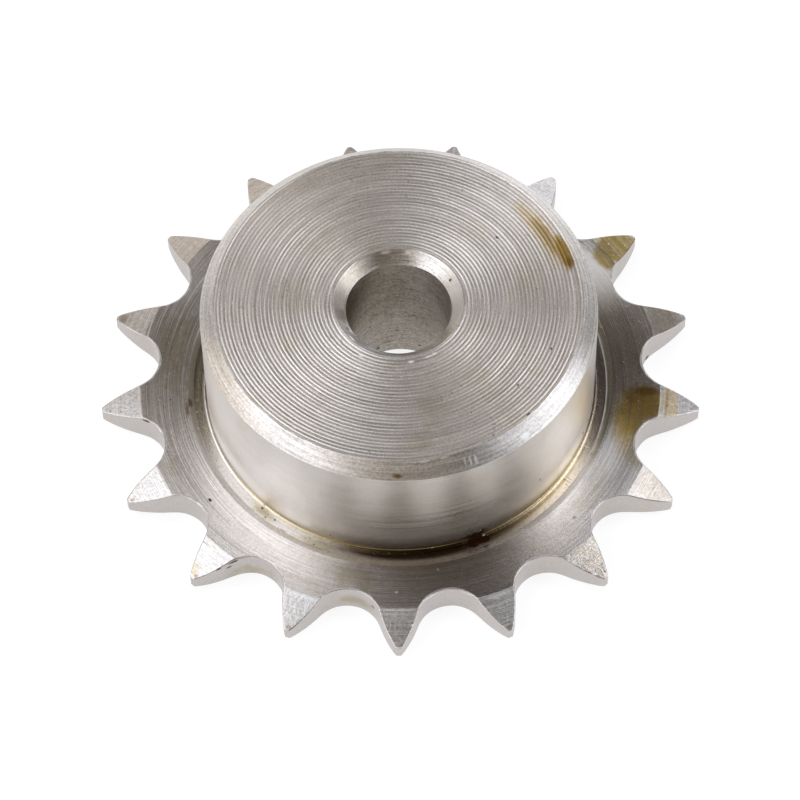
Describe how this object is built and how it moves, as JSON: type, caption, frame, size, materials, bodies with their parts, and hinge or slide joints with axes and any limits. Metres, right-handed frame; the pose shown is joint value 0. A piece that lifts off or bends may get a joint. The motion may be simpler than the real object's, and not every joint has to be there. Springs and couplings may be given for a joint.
{
  "type": "chain sprocket",
  "caption": "Roller chain sprocket turned from one piece of steel, with bevelled teeth round a thin plate, a wide plain hub on one side and a round pilot bore.",
  "frame": {"origin": "on the axis of the bore, in the middle plane of the teeth, where the chain runs", "axes": "+Z along the bore, from the toothed plate towards the end of the hub; one tooth points along -Y"},
  "size_m": [0.0468, 0.0466, 0.0138],
  "materials": {
    "steel": "bare turned steel with concentric tool marks"
  },
  "bodies": {
    "root": {"sprocket": "steel"}
  },
  "joints": []
}
